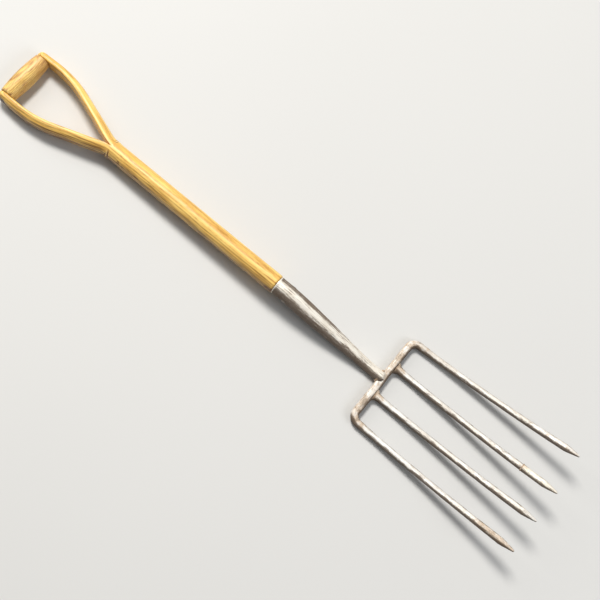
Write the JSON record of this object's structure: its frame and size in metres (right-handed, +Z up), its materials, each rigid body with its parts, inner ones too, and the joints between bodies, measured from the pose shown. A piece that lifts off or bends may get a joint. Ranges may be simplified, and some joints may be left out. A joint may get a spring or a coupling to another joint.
{
  "type": "digging fork",
  "caption": "Digging fork with a split ash handle, a turned barrel grip in its yoke, a long forged socket, and curved steel tines on a bowed crossbar.",
  "frame": {"origin": "under the middle of the fork, on the ground it lies on", "axes": "+X from the grip to the tine points, +Y across the head to the fork's left, +Z up out of the front (hollow) face; the fork lies on its back"},
  "size_m": [1.0675, 0.1894, 0.0603],
  "materials": {
    "ash": "honey-coloured ash, worn smooth under old oil, with open grain, dark flecks and a stain by the socket",
    "grip_wood": "turned ash, darker and pinker than the shaft, with scuffs and a hand polish",
    "forged_steel": "bare forged steel, worn bright along its length, pitted, with brown rust in the pits and at the joints",
    "repair_steel": "bare steel, a little rougher and browner than the old tines",
    "weld_metal": "lumpy weld metal with tan rust",
    "rivet_iron": "dull dark iron, peened heads"
  },
  "bodies": {
    "root": {"ash_shaft": "ash", "barrel_grip": "grip_wood", "grip_rod": "rivet_iron", "grip_rod_roves": "rivet_iron", "throat_rivet": "rivet_iron", "socket": "forged_steel", "socket_rivet": "rivet_iron", "crossbar_bow": "forged_steel", "inner_tine_left": "forged_steel", "inner_tine_right": "forged_steel", "repaired_tine_point": "repair_steel", "tine_repair_weld": "weld_metal", "neck_weld": "weld_metal", "inner_tine_welds": "weld_metal"}
  },
  "joints": []
}
